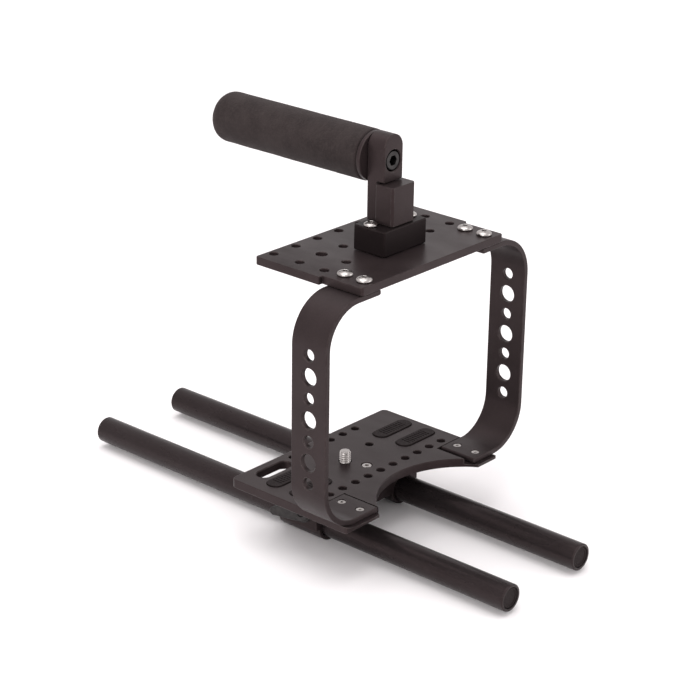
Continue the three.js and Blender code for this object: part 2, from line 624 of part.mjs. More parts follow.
function addHandle() {
  add(rig, 'top_plate', topPlate(), anodised);
  add(rig, 'handle_block', handleBlock(), anodised);
  for (const [side, word] of [[-1, 'left'], [1, 'right']]) {
    const seat = BLOCK_TOP + GAP;
    const screw = buttonScrew(BLOCK_HEAD_RADIUS, BLOCK_HEAD_HEIGHT, 2.5, seat - TOP_BOTTOM);
    add(rig, `handle_screw_${word}`, screw, bright, side * BLOCK_SCREW_X, blockScrewY(side), seat);
  }
  add(rig, 'handle_riser', riser(), anodised);
  add(rig, 'handle_arm', arm(), anodised);

  const headBase = BLOCK_BOTTOM + HIDDEN_HEAD_HEIGHT + GAP;
  for (const { name, y, radius, headRadius, top } of HIDDEN_SCREWS) {
    const screw = capScrew(headRadius, HIDDEN_HEAD_HEIGHT, radius, top - headBase);
    add(rig, name, screw, blackSteel, 0, y, headBase).rotation.x = Math.PI;
  }

  const boltSeat = ARM_FRONT + BOLT_HEAD_HEIGHT + GAP;
  const boltReach = 30;
  const boltShape = capScrew(BOLT_HEAD_RADIUS, BOLT_HEAD_HEIGHT, BOLT_RADIUS, boltReach);
  const bolt = add(rig, 'grip_bolt', boltShape, blackSteel, 0, boltSeat, GRIP_Z);
  bolt.rotation.x = Math.PI / 2;

  const collarFront = ARM_BACK + GAP;
  const collarBack = collarFront + COLLAR_LENGTH;
  const edge = 0.8;
  const bore = BOLT_RADIUS + GAP;
  const collar = turned([
    [bore, collarFront], [COLLAR_RADIUS - edge, collarFront], [COLLAR_RADIUS, collarFront + edge],
    [COLLAR_RADIUS, collarBack], [bore, collarBack], [bore, collarFront],
  ], 36);
  add(rig, 'grip_collar', collar, anodised, 0, 0, GRIP_Z);

  const coreFront = collarBack + GAP;
  const boreEnd = boltSeat + boltReach + 1;
  const core = turned([
    [bore, coreFront], [CORE_RADIUS, coreFront], [CORE_RADIUS, CORE_BACK], [0, CORE_BACK],
    [0, boreEnd], [bore, boreEnd], [bore, coreFront],
  ], 24);
  add(rig, 'grip_core', core, blackSteel, 0, 0, GRIP_Z);

  const round = 6;
  const dome = arcPoints(GRIP_RADIUS - round, GRIP_BACK - round, round, 0, 90, 5).map((p) => [p.x, p.y]);
  const sleeve = turned([
    [CORE_RADIUS + GAP, coreFront], [GRIP_RADIUS - 0.8, coreFront], [GRIP_RADIUS, coreFront + 0.8],
    ...dome, [0, GRIP_BACK], [0, CORE_BACK + GAP], [CORE_RADIUS + GAP, CORE_BACK + GAP],
    [CORE_RADIUS + GAP, coreFront],
  ], 36);
  add(rig, 'grip_foam', sleeve, foam, 0, 0, GRIP_Z);
}

addRods();
addBase();
addStraps();
addHandle();

export default rig;
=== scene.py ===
"""The looks of the camera rig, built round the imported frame.

Shapes are made in millimetres and scaled to metres when a piece is placed. Boxes come from the frame.
"""

import math

import bmesh
import bpy
from mathutils import Matrix, Vector, noise


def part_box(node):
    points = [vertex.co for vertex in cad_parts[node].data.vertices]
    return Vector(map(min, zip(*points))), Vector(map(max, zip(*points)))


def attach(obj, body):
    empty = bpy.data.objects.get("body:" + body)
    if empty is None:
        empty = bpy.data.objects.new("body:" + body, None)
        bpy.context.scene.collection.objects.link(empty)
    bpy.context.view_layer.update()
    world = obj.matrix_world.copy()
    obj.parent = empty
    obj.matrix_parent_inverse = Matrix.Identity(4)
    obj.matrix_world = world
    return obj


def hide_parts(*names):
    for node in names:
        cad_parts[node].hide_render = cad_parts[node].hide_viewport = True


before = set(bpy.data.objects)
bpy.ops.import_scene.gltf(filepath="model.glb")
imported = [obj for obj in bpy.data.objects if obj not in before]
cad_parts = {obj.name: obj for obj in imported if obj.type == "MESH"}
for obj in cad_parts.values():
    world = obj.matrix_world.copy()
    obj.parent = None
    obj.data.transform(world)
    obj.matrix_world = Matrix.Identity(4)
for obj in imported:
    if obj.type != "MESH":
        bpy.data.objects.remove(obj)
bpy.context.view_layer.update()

MM = 0.001
SHARP_ANGLE = math.radians(38)


# ---- Outlines -----------------------------------------------------------------------------
def arc(x, y, radius, start, end, steps):
    """Points round a centre, from one angle to another in degrees."""
    angles = (math.radians(start + (end - start) * i / steps) for i in range(steps + 1))
    return [(x + radius * math.cos(a), y + radius * math.sin(a)) for a in angles]


def circle(x, y, radius, steps=40):
    return arc(x, y, radius, 0, 360 * (steps - 1) / steps, steps - 1)


def oblong(x, y, length, width, steps=14):
    """A long hole or pad with round ends, its length along X."""
    radius = width / 2
    reach = length / 2 - radius
    right = arc(x + reach, y, radius, -90, 90, steps)
    return right + arc(x - reach, y, radius, 90, 270, steps)


def rounded_box(x0, y0, x1, y1, radius, steps=5):
    """A rectangle with rounded corners, anticlockwise."""
    corners = ((x1, y0, -90), (x1, y1, 0), (x0, y1, 90), (x0, y0, 180))
    points = []
    for x, y, start in corners:
        cx = x - radius if x == x1 else x + radius
        cy = y - radius if y == y1 else y + radius
        points += arc(cx, cy, radius, start, start + 90, steps)
    return points


def inset(points, distance):
    """The outline moved inwards by a distance, or outwards if it is negative."""
    moved = []
    count = len(points)
    for i in range(count):
        before, here, after = (Vector(points[(i + k) % count]) for k in (-1, 0, 1))
        first = (here - before).normalized()
        second = (after - here).normalized()
        normal = Vector((first.y, -first.x))
        middle = (normal + Vector((second.y, -second.x))).normalized()
        shift = distance / max(middle.dot(normal), 0.35)
        moved.append(tuple(here - middle * shift))
    return moved


# ---- Solids -------------------------------------------------------------------------------
def mesh_of(builder):
    """A mesh from a bmesh, with its normals facing out."""
    bmesh.ops.recalc_face_normals(builder, faces=builder.faces)
    mesh = bpy.data.meshes.new("shape")
    builder.to_mesh(mesh)
    builder.free()
    return mesh


def stacked(rings):
    """A closed solid from rings of points of the same count, capped at both ends."""
    builder = bmesh.new()
    rows = [[builder.verts.new(point) for point in ring] for ring in rings]
    count = len(rows[0])
    for low, high in zip(rows, rows[1:]):
        for i in range(count):
            j = (i + 1) % count
            builder.faces.new((low[i], low[j], high[j], high[i]))
    builder.faces.new(rows[0][::-1])
    builder.faces.new(rows[-1])
    return mesh_of(builder)


def layered(outline, layers):
    """A solid whose outline is drawn in by a different distance at each height."""
    return stacked([[(x, y, z) for x, y in inset(outline, d)] for d, z in layers])


def prism(outline, low, high, edge=0.0, steps=3):
    """The outline raised from one height to another, its rims rounded by a radius."""
    if not edge:
        return layered(outline, [(0, low), (0, high)])
    turn = [math.radians(90 * k / steps) for k in range(steps + 1)]
    bottom = [(edge * (1 - math.sin(a)), low + edge * (1 - math.cos(a))) for a in turn]
    top = [(d, low + high - z) for d, z in reversed(bottom)]
    return layered(outline, bottom + top)


def through_cutter(outline, low, high, chamfer=0.35):
    """Cuts the outline right through a plate, with a chamfer at both faces."""
    past = 0.5
    flare = -(chamfer + past)
    rows = [(flare, low - past), (0, low + chamfer), (0, high - chamfer), (flare, high + past)]
    return layered(outline, rows)


def blind_cutter(outline, floor, high, chamfer=0.25):
    """Cuts the outline down to a floor, with a chamfer at the top face."""
    past = 0.5
    return layered(outline, [(0, floor), (0, high - chamfer), (-(chamfer + past), high + past)])


def lathe(profile, sides=48):
    """Turned about Z. The profile is radius and height, from the axis to the axis or closed on itself."""
    builder = bmesh.new()
    rows = []
    for radius, height in profile:
        if radius == 0:
            rows.append([builder.verts.new((0, 0, height))])
            continue
        turns = (2 * math.pi * i / sides for i in range(sides))
        rows.append([builder.verts.new((radius * math.cos(a), radius * math.sin(a), height)) for a in turns])
    pairs = list(zip(rows, rows[1:]))
    if profile[0][0] != 0:
        pairs.append((rows[-1], rows[0]))
    for low, high in pairs:
        for i in range(sides):
            j = (i + 1) % sides
            corners = [low[i % len(low)], low[j % len(low)], high[j % len(high)], high[i % len(high)]]
            unique = list(dict.fromkeys(corners))
            builder.faces.new(unique)
    return mesh_of(builder)


def joined(meshes):
    builder = bmesh.new()
    for mesh in meshes:
        builder.from_mesh(mesh)
    mesh = bpy.data.meshes.new("joined")
    builder.to_mesh(mesh)
    builder.free()
    return mesh


def combined(mesh, tools, operation):
    """The mesh with the tools cut from it or added to it."""
    body = bpy.data.objects.new("body", mesh)
    tool = bpy.data.objects.new("tool", joined(tools))
    for part in (body, tool):
        bpy.context.scene.collection.objects.link(part)
    modifier = body.modifiers.new("combine", "BOOLEAN")
    modifier.operation = operation
    modifier.solver = "EXACT"
    modifier.object = tool
    graph = bpy.context.evaluated_depsgraph_get()
    result = bpy.data.meshes.new_from_object(body.evaluated_get(graph))
    for part in (body, tool):
        bpy.data.objects.remove(part)
    if not result.polygons:
        raise ValueError("a cut left nothing of its piece, as tools that overlap can do")
    return result


def carve(mesh, *tool_groups):
    """Cuts each group of tools in turn; the tools of one group don't overlap."""
    for tools in tool_groups:
        mesh = combined(mesh, tools, "DIFFERENCE")
    return mesh


ALONG_X = Matrix(((0, 0, 1, 0), (1, 0, 0, 0), (0, 1, 0, 0), (0, 0, 0, 1)))  # x, y, z -> y, z, x
ALONG_Y = Matrix(((1, 0, 0, 0), (0, 0, -1, 0), (0, 1, 0, 0), (0, 0, 0, 1)))  # x, y, z -> x, z, -y


def moved(mesh, matrix):
    mesh.transform(matrix)
    return mesh


def shifted(mesh, x, y, z):
    return moved(mesh, Matrix.Translation((x, y, z)))


def along_y(mesh):
    """Drawn in X and Z, and raised towards -Y."""
    return moved(mesh, ALONG_Y)


def along_x(mesh):
    """Drawn in Y and Z, and raised towards +X."""
    return moved(mesh, ALONG_X)


def copy_of(mesh):
    return mesh.copy()


def soften(mesh):
    """Smooth shading, with the edges sharper than the limit kept crisp."""
    builder = bmesh.new()
    builder.from_mesh(mesh)
    bmesh.ops.remove_doubles(builder, verts=builder.verts, dist=1e-4)
    bmesh.ops.recalc_face_normals(builder, faces=builder.faces)
    for face in builder.faces:
        face.smooth = True
    for edge in builder.edges:
        edge.smooth = len(edge.link_faces) == 2 and edge.calc_face_angle(0) < SHARP_ANGLE
    builder.to_mesh(mesh)
    builder.free()


def place(name, mesh, finish, body, slot, *nodes):
    """Makes a piece of the mesh, which stands for the CAD nodes and moves with their body."""
    soften(mesh)
    mesh.transform(Matrix.Scale(MM, 4))
    mesh.materials.clear()
    mesh.materials.append(finish)
    piece = bpy.data.objects.new(name, mesh)
    bpy.context.scene.collection.objects.link(piece)
    weighted = piece.modifiers.new("even shading", "WEIGHTED_NORMAL")
    weighted.keep_sharp = True
    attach(piece, body)
    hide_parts(*nodes)
    return piece


def box_mm(node):
    """A CAD node's lowest and highest corners, in millimetres."""
    low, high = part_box(node)
    return Vector(low) / MM, Vector(high) / MM


def centre_mm(node):
    low, high = box_mm(node)
    return (low + high) / 2


# ---- Node helpers -------------------------------------------------------------------------
WARM_REFLECTION = (1.0, 0.70, 0.71, 1)


def start_material(name, roughness, metallic=0.0, reflection=0.5):
    finish = bpy.data.materials.new(name)
    finish.use_nodes = True
    tree = finish.node_tree
    shader = tree.nodes["Principled BSDF"]
    shader.inputs["Roughness"].default_value = roughness
    shader.inputs["Metallic"].default_value = metallic
    shader.inputs["Specular IOR Level"].default_value = reflection
    if reflection < 0.5:
        shader.inputs["Specular Tint"].default_value = WARM_REFLECTION
    place_output = tree.nodes.new("ShaderNodeTexCoord").outputs["Object"]
    return finish, tree, shader, place_output


def noise_of(tree, where, scale, detail=4.0, stretch=(1, 1, 1)):
    mapping = tree.nodes.new("ShaderNodeMapping")
    mapping.inputs["Scale"].default_value = stretch
    texture = tree.nodes.new("ShaderNodeTexNoise")
    texture.inputs["Scale"].default_value = scale
    texture.inputs["Detail"].default_value = detail
    tree.links.new(where, mapping.inputs["Vector"])
    tree.links.new(mapping.outputs["Vector"], texture.inputs["Vector"])
    return texture.outputs["Fac"]


def spread(tree, value, low, high, from_low=0.3, from_high=0.7):
    node = tree.nodes.new("ShaderNodeMapRange")
    node.inputs["From Min"].default_value = from_low
    node.inputs["From Max"].default_value = from_high
    node.inputs["To Min"].default_value = low
    node.inputs["To Max"].default_value = high
    tree.links.new(value, node.inputs["Value"])
    return node.outputs["Result"]


def mixed(tree, factor, first, second):
    """A colour between two; each is three numbers or another node's output."""
    node = tree.nodes.new("ShaderNodeMix")
    node.data_type = "RGBA"
    tree.links.new(factor, node.inputs["Factor"])
    sockets = [s for s in node.inputs if s.type == "RGBA"]
    for socket, colour in zip(sockets, (first, second)):
        if isinstance(colour, tuple):
            socket.default_value = (*colour, 1)
        else:
            tree.links.new(colour, socket)
    return next(s for s in node.outputs if s.type == "RGBA")


def product(tree, first, second):
    node = tree.nodes.new("ShaderNodeMath")
    node.operation = "MULTIPLY"
    tree.links.new(first, node.inputs[0])
    tree.links.new(second, node.inputs[1])
    return node.outputs["Value"]


def relief(tree, shader, *layers):
    """Adds bumps to the shader: each layer is a height, a strength and a depth in metres."""
    normal = None
    for height, strength, depth in layers:
        node = tree.nodes.new("ShaderNodeBump")
        node.inputs["Strength"].default_value = strength
        node.inputs["Distance"].default_value = depth
        tree.links.new(height, node.inputs["Height"])
        if normal:
            tree.links.new(normal, node.inputs["Normal"])
        normal = node.outputs["Normal"]
    tree.links.new(normal, shader.inputs["Normal"])


def edge_mask(tree, radius):
    """1 along outside edges and 0 on flat surfaces, from how far a rounded normal leans over."""
    rounded = tree.nodes.new("ShaderNodeBevel")
    rounded.samples = 4
    rounded.inputs["Radius"].default_value = radius
    plain = tree.nodes.new("ShaderNodeNewGeometry")
    dot = tree.nodes.new("ShaderNodeVectorMath")
    dot.operation = "DOT_PRODUCT"
    tree.links.new(rounded.outputs["Normal"], dot.inputs[0])
    tree.links.new(plain.outputs["Normal"], dot.inputs[1])
    return spread(tree, dot.outputs["Value"], 1.0, 0.0, 0.86, 0.99)


# ---- Materials ----------------------------------------------------------------------------
def anodised(name, dark, pale, rough_low, rough_high, grain_stretch=(1, 1, 1), reflection=0.21):
    """Black anodised aluminium: fine blasted grain, cloudy tone, and rims a little paler in patches, partly
    rubbed wear and partly a painted edge highlight.
    """
    finish, tree, shader, where = start_material(name, (rough_low + rough_high) / 2, 0.0, reflection)
    clouds = noise_of(tree, where, 45, 3)
    speckle = noise_of(tree, where, 2600, 2, grain_stretch)
    rubbing = noise_of(tree, where, 260, 4)
    tone = mixed(tree, spread(tree, clouds, 0, 1), dark, pale)
    tone = mixed(tree, spread(tree, speckle, 0, 0.22), tone, tuple(3 * c for c in pale))
    # Painted edge highlight mixed with rubbed wear: the rims are made paler in patches, partly standing in
    # for light caught along the edges.
    rim = product(tree, edge_mask(tree, 0.0006), spread(tree, rubbing, 0.1, 0.75, 0.42, 0.62))
    tone = mixed(tree, rim, tone, (0.12, 0.11, 0.105))
    tree.links.new(tone, shader.inputs["Base Color"])
    smears = noise_of(tree, where, 85, 5, (1, 0.45, 1))
    tree.links.new(spread(tree, smears, rough_low, rough_high), shader.inputs["Roughness"])
    relief(tree, shader, (speckle, 0.16, 0.00006), (rubbing, 0.05, 0.0001))
    return finish


def steel(name, colour, worn, rough_low, rough_high):
    """Machined steel, with fine marks in all directions."""
    finish, tree, shader, where = start_material(name, rough_low, 1.0)
    marks = noise_of(tree, where, 900, 5, (1, 4, 1))
    clouds = noise_of(tree, where, 300, 3)
    tree.links.new(mixed(tree, spread(tree, clouds, 0, 1), colour, worn), shader.inputs["Base Color"])
    tree.links.new(spread(tree, marks, rough_low, rough_high), shader.inputs["Roughness"])
    relief(tree, shader, (marks, 0.12, 0.00005))
    return finish


def moulded_rubber():
    finish, tree, shader, where = start_material("moulded_rubber", 0.7, 0.0, 0.2)
    grain = noise_of(tree, where, 1800, 3)
    clouds = noise_of(tree, where, 120, 4)
    tone = mixed(tree, spread(tree, clouds, 0, 1), (0.006, 0.005, 0.005), (0.013, 0.011, 0.011))
    tree.links.new(tone, shader.inputs["Base Color"])
    tree.links.new(spread(tree, grain, 0.55, 0.8), shader.inputs["Roughness"])
    relief(tree, shader, (grain, 0.3, 0.0001))
    return finish


def grip_foam():
    """Closed-cell foam: a dense skin of small open pores over a softly uneven surface."""
    finish, tree, shader, where = start_material("grip_foam", 0.9, 0.0, 0.2)
    shader.inputs["Sheen Weight"].default_value = 0.04
    shader.inputs["Sheen Roughness"].default_value = 0.6
    cells = tree.nodes.new("ShaderNodeTexVoronoi")
    cells.inputs["Scale"].default_value = 1500
    tree.links.new(where, cells.inputs["Vector"])
    pores = spread(tree, cells.outputs["Distance"], 0, 1, 0.1, 0.6)
    clouds = noise_of(tree, where, 110, 5)
    fine = noise_of(tree, where, 700, 4)
    tone = mixed(tree, spread(tree, clouds, 0, 1), (0.011, 0.0085, 0.0085), (0.024, 0.019, 0.0185))
    tone = mixed(tree, product(tree, pores, spread(tree, fine, 0, 0.6)), tone, (0.04, 0.032, 0.031))
    tree.links.new(tone, shader.inputs["Base Color"])
    tree.links.new(spread(tree, fine, 0.82, 0.98), shader.inputs["Roughness"])
    relief(tree, shader, (pores, 0.5, 0.0002), (fine, 0.3, 0.0003))
    return finish


PLATE = anodised("plate_anodised", (0.0115, 0.0082, 0.0084), (0.0185, 0.0137, 0.014), 0.30, 0.42)
STRAP = anodised("strap_anodised", (0.012, 0.009, 0.0092), (0.019, 0.0145, 0.0148), 0.34, 0.48)
TUBE = anodised("tube_anodised", (0.010, 0.008, 0.0082), (0.014, 0.0115, 0.0118), 0.25, 0.31, (1, 0.12, 1))
BLOCK_TONES = ((0.006, 0.0045, 0.0046), (0.010, 0.0075, 0.0077))
BLOCK = anodised("block_anodised", *BLOCK_TONES, 0.34, 0.46, reflection=0.1)
BRIGHT = steel("bright_steel", (0.50, 0.47, 0.455), (0.36, 0.335, 0.325), 0.2, 0.36)
BLACK_STEEL = steel("black_steel", (0.035, 0.033, 0.033), (0.06, 0.056, 0.055), 0.32, 0.5)
RUBBER = moulded_rubber()
FOAM = grip_foam()


GAP = 0.3  # millimetres, between pieces that fit together

# ---- Screws -------------------------------------------------------------------------------
SHANK_CHAMFER = 0.3
HANDLE_HEAD = 3.7
TOP_HEAD = 4.2
FLANGE_HEAD = 2.2
FLANGE_SHANK = 1.2
PLATE_HEAD = 2.8
PLATE_SHANK = 1.7


def socket_cutter(across_flats, floor, top):
    """A hexagon socket with a small lead-in at its mouth."""
    radius = across_flats / math.sqrt(3)
    return blind_cutter(circle(0, 0, radius, 6), floor, top, 0.12)


def shank(radius, length):
    return [(0, -length), (radius - SHANK_CHAMFER, -length), (radius, -length + SHANK_CHAMFER)]


def button_head(head_radius, height, shank_radius, length, across_flats):
    """A domed head standing on zero, with its shank below."""
    rim = 0.18 * height
    dome = [
        (head_radius * math.cos(math.radians(a)), rim + (height - rim) * math.sin(math.radians(a)))
        for a in range(0, 61, 6)
    ]
    flat = [(dome[-1][0] - 0.15, height * 0.93), (0, height * 0.93)]
    profile = shank(shank_radius, length) + [(shank_radius, 0), (head_radius - 0.1, 0)] + dome + flat
    return carve(lathe(profile), [socket_cutter(across_flats, 0.3 * height, height * 0.93)])


def cap_head(head_radius, height, shank_radius, length, across_flats):
    """A cylindrical head standing on zero, its top rim rounded."""
    edge = 0.5
    rim = [(head_radius - edge + x, height - edge + z) for x, z in arc(0, 0, edge, 0, 90, 4)]
    profile = shank(shank_radius, length) + [(shank_radius, 0), (head_radius, 0)] + rim + [(0, height)]
    return carve(lathe(profile), [socket_cutter(across_flats, 0.4 * height, height)])


def flat_head(head_radius, shank_radius, length, across_flats):
    """A countersunk head with its top at zero."""
    cone = head_radius - shank_radius
    profile = shank(shank_radius, length)
    profile += [(shank_radius, -cone - 0.2), (head_radius, -0.2), (head_radius - 0.1, 0), (0, 0)]
    return carve(lathe(profile), [socket_cutter(across_flats, -0.9, 0)])


def threaded_stud(radius, pitch, low, high, sides=48, per_turn=8):
    """A stud from low to high with a real helical thread, tapering at its tip."""
    depth = 0.55 * pitch
    rows = round((high - low) / pitch * per_turn)
    rings = []
    for row in range(rows + 1):
        z = low + (high - low) * row / rows
        taper = max(0.0, z - (high - 0.8)) * 0.8
        ring = []
        for i in range(sides):
            turn = i / sides
            phase = ((z - low) / pitch - turn) % 1
            groove = depth * abs(2 * phase - 1)
            reach = min(radius - groove, radius - taper)
            ring.append((reach * math.cos(2 * math.pi * turn), reach * math.sin(2 * math.pi * turn), z))
        rings.append(ring)
    return stacked(rings)


def place_screw(node, mesh, head_level, finish, slot, downwards=False):
    """Puts a screw made about Z at its CAD node, with the plane it stands on at a height."""
    middle = centre_mm(node)
    if downwards:
        mesh = moved(mesh, Matrix.Rotation(math.pi, 4, "X"))
    mesh = shifted(mesh, middle.x, middle.y, head_level)
    return place(node + "_look", mesh, finish, node + "_body", slot, node)


def add_screws():
    top_height, handle_height, low_cap, under_cap = 2.3, 2.1, 1.9, 4.0
    top_low, top_high = box_mm("top_screw_left_front")
    button = button_head(TOP_HEAD, top_height, 2, top_high.z - top_height - top_low.z, 2.5)
    base_low, base_high = box_mm("base_screw_left_front")
    flat = flat_head(FLANGE_HEAD, FLANGE_SHANK, base_high.z - base_low.z, 1.5)
    for side in ("left", "right"):
        for end in ("front", "back"):
            top = f"top_screw_{side}_{end}"
            place_screw(top, copy_of(button), top_high.z - top_height, BRIGHT, "bright_steel")
            base = f"base_screw_{side}_{end}"
            place_screw(base, copy_of(flat), base_high.z, BRIGHT, "bright_steel")
        node = f"handle_screw_{side}"
        low, high = box_mm(node)
        screw = button_head(HANDLE_HEAD, handle_height, 2.5, high.z - handle_height - low.z, 3)
        place_screw(node, screw, high.z - handle_height, BRIGHT, "bright_steel")
    low, high = box_mm("plate_screw")
    screw = cap_head(PLATE_HEAD, low_cap, PLATE_SHANK, high.z - low_cap - low.z, 2.2)
    place_screw("plate_screw", screw, high.z - low_cap, BRIGHT, "bright_steel")
    for number in (1, 2):
        node = f"clamp_screw_under_{number}"
        low, high = box_mm(node)
        screw = cap_head(3.5, under_cap, 2, high.z - low.z - under_cap, 3)
        place_screw(node, screw, low.z + under_cap, BLACK_STEEL, "black_steel", downwards=True)


def add_camera_screw():
    head_height, radius, pitch = 5.0, 3.17, 1.27
    low, high = box_mm("camera_screw")
    seat = low.z + head_height
    head = cap_head(5.5, head_height, radius - 0.7, 1.5, 4)
    head = moved(head, Matrix.Rotation(math.pi, 4, "X"))
    stud = threaded_stud(radius, pitch, -0.2, high.z - seat)
    screw = combined(head, [stud], "UNION")
    middle = centre_mm("camera_screw")
    screw = shifted(screw, middle.x, middle.y, seat)
    place("camera_screw_look", screw, BRIGHT, "camera_screw_body", "bright_steel", "camera_screw")


# ---- Rods ---------------------------------------------------------------------------------
def add_rods():
    for side in ("left", "right"):
        body = f"rod_{side}_body"
        low, high = box_mm(f"rod_{side}")
        middle = (low + high) / 2
        half = (high.y - low.y) / 2
        radius = (high.x - low.x) / 2
        bore = 6.0
        outside = [(radius - 0.7 + x, half - 0.7 + z) for x, z in arc(0, 0, 0.7, 0, 90, 4)]
        lead = [(bore + 0.25, half), (bore, half - 0.25)]
        end = outside + lead
        profile = end + [(r, -z) for r, z in reversed(end)]
        tube = shifted(along_y(lathe(profile, 72)), middle.x, 0, middle.z)
        place(f"rod_{side}_look", tube, TUBE, body, "rod_black", f"rod_{side}")
        for end_name, sign in (("front", 1), ("back", -1)):
            node = f"rod_{side}_plug_{end_name}"
            plug_low, plug_high = box_mm(node)
            length = plug_high.y - plug_low.y
            plug_radius = (plug_high.x - plug_low.x) / 2
            rim = [(plug_radius - 0.5 + x, length - 0.5 + z) for x, z in arc(0, 0, 0.5, 0, 90, 4)]
            dish = [(plug_radius - 1.2, length), (plug_radius - 1.6, length - 0.35), (0, length - 0.35)]
            plug = lathe([(0, 0), (plug_radius, 0)] + rim + dish, 56)
            if sign < 0:
                plug = moved(plug, Matrix.Rotation(math.pi, 4, "X"))
            start = plug_high.y if sign > 0 else plug_low.y
            plug = shifted(along_y(plug), middle.x, start, middle.z)
            place(node + "_look", plug, RUBBER, body, "rubber_black", node)


# ---- Base plate ---------------------------------------------------------------------------
ARC_CENTRE_Y = -99.5
ARC_RADIUS = 50
ROW_PITCH = 10.25
ROW_CENTRE_X = -ROW_PITCH / 2
FRONT_ROW_Y, BACK_ROW_Y, SINGLE_Y = -41, 4.5, -15
ROW_HOLE = 2.4
TIE_SLOT = (-43.8, 1.3, 24.5, 8.5)
POCKET_END = 36.5
FLANGE_SCREW_X = 48
FLANGE_SCREWS_Y = (-63.8, -51.1)
PADS = ("pad_right_back", "pad_right_front", "pad_left_back", "pad_left_front")


def base_outline(low, high):
    drop = low.y - ARC_CENTRE_Y
    angle = math.degrees(math.asin(drop / ARC_RADIUS))
    front_radius, back_radius = 1.2, 3.0
    points = arc(low.x + front_radius, low.y + front_radius, front_radius, 180, 270, 4)
    points += arc(0, ARC_CENTRE_Y, ARC_RADIUS, 180 - angle, angle, 64)
    points += arc(high.x - front_radius, low.y + front_radius, front_radius, 270, 360, 4)
    points += arc(high.x - back_radius, high.y - back_radius, back_radius, 0, 90, 8)
    points += arc(low.x + back_radius, high.y - back_radius, back_radius, 90, 180, 8)
    return points


def base_hole_places():
    places = [(k, FRONT_ROW_Y) for k in range(-5, 6)]
    places += [(k, BACK_ROW_Y) for k in range(-2, 4)]
    places += [(k, SINGLE_Y) for k in (-2, 2)]
    return [(ROW_CENTRE_X + k * ROW_PITCH, y) for k, y in places]


def pad_outline(node, room=0.0):
    low, high = box_mm(node)
    middle = (low + high) / 2
    return oblong(middle.x, middle.y, high.x - low.x + 2 * room, high.y - low.y + 2 * room)


def add_base_plate():
    """Both straps lie in seats of their own shape, and an open pocket runs in beside the right one.

    The pocket and that seat overlap, so they are cut one after the other.
    """
    low, high = box_mm("base_plate")
    plate = prism(base_outline(low, high), low.z, high.z, 0.45)
    strap_low, strap_high = box_mm("side_strap_left")
    floor = strap_low.z - GAP
    back = strap_high.y + GAP
    front = low.y - 5
    outer_x = -strap_low.x
    flange_x = STRAP_LOWER_END + 1
    corners = [(POCKET_END, front), (flange_x, front), (flange_x, back), (POCKET_END, back)]
    pocket = prism(corners, floor, high.z + 1)
    seats = []
    for side in (-1, 1):
        seat = along_y(prism(strap_outline(outer_x, strap_low.z, strap_high.z, GAP, 0.05), 0, back - front))
        seat = moved(shifted(seat, 0, back, 0), Matrix.Scale(side, 4, (1, 0, 0)))
        normals_out(seat)
        seats.append(seat)
    recesses = [blind_cutter(pad_outline(node, GAP), box_mm(node)[0].z - 0.05, high.z) for node in PADS]
    fixing = centre_mm("plate_screw")
    recesses.append(blind_cutter(circle(fixing.x, fixing.y, PLATE_HEAD + GAP), high.z - 2.2, high.z))
    holes = [through_cutter(circle(x, y, ROW_HOLE, 32), low.z, high.z) for x, y in base_hole_places()]
    stud = centre_mm("camera_screw")
    holes.append(through_cutter(circle(stud.x, stud.y, 3.5), low.z, high.z, 0.4))
    holes.append(through_cutter(oblong(*TIE_SLOT), low.z, high.z, 0.5))
    drilled = [prism(circle(fixing.x, fixing.y, PLATE_SHANK + GAP, 24), low.z - 1, high.z)]
    for side in (-1, 1):
        for y in FLANGE_SCREWS_Y:
            bored = circle(side * FLANGE_SCREW_X, y, FLANGE_SHANK + GAP, 24)
            drilled.append(prism(bored, low.z - 1, high.z + 1))
    for number in (1, 2):
        under = centre_mm(f"clamp_screw_under_{number}")
        drilled.append(prism(circle(under.x, under.y, 2.3, 24), low.z - 1, high.z - 1.2))
    plate = carve(plate, [pocket], seats, recesses, holes, drilled)
    place("base_plate_look", plate, PLATE, "cage", "anodised_black", "base_plate")


def add_pads():
    """Each pad is a ribbed rubber strip, set in its recess and a little proud of the plate."""
    rib_pitch, rib_width, rib_depth = 2.0, 0.7, 0.3
    for node in PADS:
        low, high = box_mm(node)
        middle = (low + high) / 2
        pad = prism(pad_outline(node), low.z, high.z, 0.3)
        reach = (high.x - low.x) / 2 - 4.5
        count = int(reach / rib_pitch)
        grooves = []
        for k in range(-count, count + 1):
            x = middle.x + k * rib_pitch
            half = rib_width / 2
            corners = rounded_box(x - half, low.y + 1.6, x + half, high.y - 1.6, 0.3, 3)
            grooves.append(prism(corners, high.z - rib_depth, high.z + 1))
        pad = carve(pad, grooves)
        place(node + "_look", pad, RUBBER, "cage", "rubber_black", node)


# ---- Rod clamp ----------------------------------------------------------------------------
def clamp_outline(low, high, rod_x, rod_z):
    """The block's end face: flat sides, a round lobe below each rod, and a slit down to each bore."""
    lobe, bore, slit = rod_z, 7.7, 0.75
    bottom = rod_z - 1
    lobe_start = math.degrees(math.asin((bottom - rod_z) / lobe))
    mouth = math.degrees(math.acos(slit / bore))
    corner = 1.2
    points = [(low.x, bottom)]
    for x in (-rod_x, rod_x):
        points += arc(x, rod_z, lobe, 180 - lobe_start, 360 + lobe_start, 30)
    points.append((high.x, bottom))
    points += arc(high.x - corner, high.z - corner, corner, 0, 90, 4)
    for x in (rod_x, -rod_x):
        points.append((x + slit, high.z))
        points += arc(x, rod_z, bore, mouth, -180 - mouth, 56)
        points.append((x - slit, high.z))
    points += arc(low.x + corner, high.z - corner, corner, 90, 180, 4)
    return points


